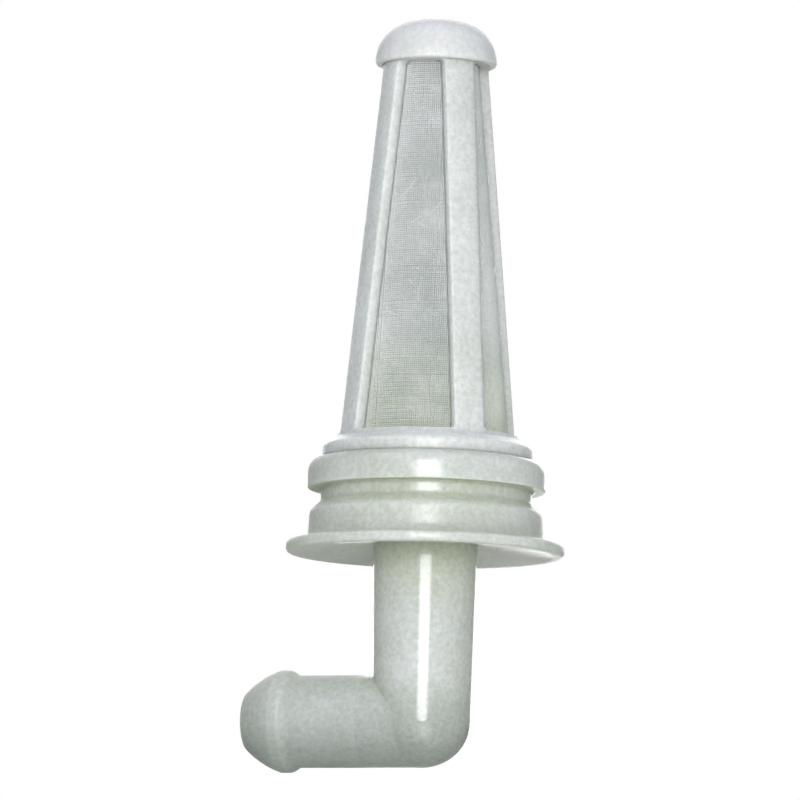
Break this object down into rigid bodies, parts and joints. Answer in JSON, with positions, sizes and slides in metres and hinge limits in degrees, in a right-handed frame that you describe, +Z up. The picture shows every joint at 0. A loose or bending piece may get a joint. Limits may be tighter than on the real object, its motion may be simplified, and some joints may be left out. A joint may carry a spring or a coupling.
{
  "type": "tank strainer with elbow hose barb",
  "caption": "In-tank strainer: tapered ribbed cage with woven mesh and a domed cap, on a grooved collar with a flange, a stem and an elbow hose barb.",
  "frame": {"origin": "on the strainer's axis in the middle of the collar's upper land, 6.45 mm above the flange's seating face", "axes": "+Z up the strainer towards its cap, -X along the outlet towards the hose, +Y completes the right-handed frame"},
  "size_m": [0.0331, 0.0288, 0.0782],
  "materials": {
    "body_plastic": "milky translucent, satin gloss",
    "cage_plastic": "milky translucent, satin",
    "woven_mesh": "fine woven monofilament",
    "cap_plastic": "milky translucent, satin"
  },
  "bodies": {
    "fitting": {"elbow_body": "body_plastic"},
    "strainer": {"strainer_cage": "cage_plastic", "mesh_sleeve": "woven_mesh", "end_cap": "cap_plastic"}
  },
  "joints": [
    {"name": "strainer_pull_out", "type": "slide", "parent": "fitting", "child": "strainer", "axis": [0, 0, 1], "range_m": [0, 0.01]}
  ]
}
